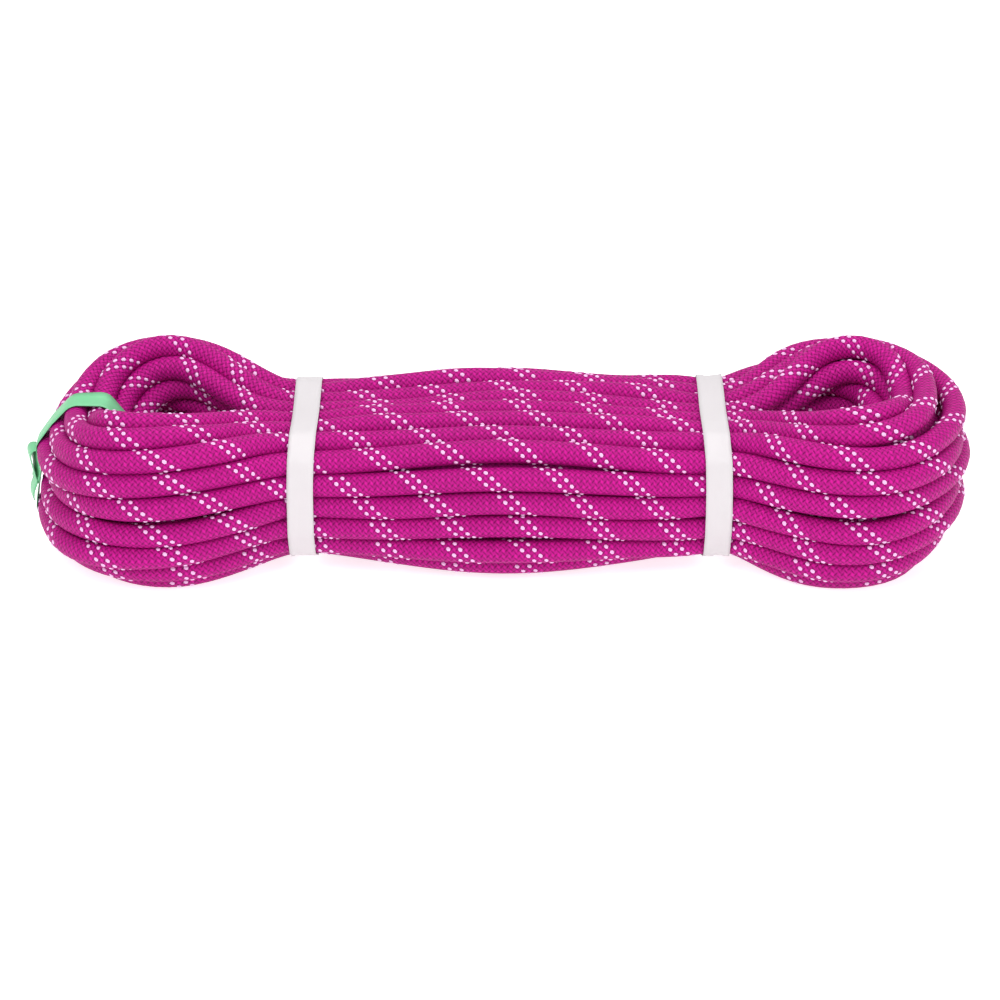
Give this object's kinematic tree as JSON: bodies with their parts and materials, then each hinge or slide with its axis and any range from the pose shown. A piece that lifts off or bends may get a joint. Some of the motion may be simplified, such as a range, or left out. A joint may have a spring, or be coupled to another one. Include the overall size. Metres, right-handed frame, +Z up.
{
  "type": "climbing rope hank",
  "caption": "Braided climbing rope wound into a long waisted hank with an eye at each end, held by two flat bands and a strip of tape.",
  "frame": {"origin": "middle of the flat underside that the hank rests on, centred on the overall box", "axes": "+X along the hank towards the end without the tape, -Y towards the front, +Z up, along the axis that the turns are wound about"},
  "size_m": [0.3998, 0.1164, 0.0786],
  "materials": {
    "sheath": "braided nylon, magenta with two white marker yarns",
    "core": "twisted white nylon",
    "band": "satin white strip",
    "tape": "satin mint green ribbon",
    "sleeve": "shrunk film, slightly glossy",
    "melted_tip": "melted and set hard"
  },
  "bodies": {
    "root": {"rope_hank": "sheath", "band_left": "band", "band_right": "band", "green_tape": "tape", "inner_end_sheath": "sheath", "inner_end_core_1": "core", "inner_end_core_2": "core", "inner_end_core_3": "core", "inner_end_core_4": "core", "inner_end_core_5": "core", "inner_end_core_6": "core", "inner_end_core_7": "core", "inner_end_sleeve": "sleeve", "inner_end_tip": "melted_tip", "outer_end_sheath": "sheath", "outer_end_core_1": "core", "outer_end_core_2": "core", "outer_end_core_3": "core", "outer_end_core_4": "core", "outer_end_core_5": "core", "outer_end_core_6": "core", "outer_end_core_7": "core", "outer_end_sleeve": "sleeve", "outer_end_tip": "melted_tip"}
  },
  "joints": []
}
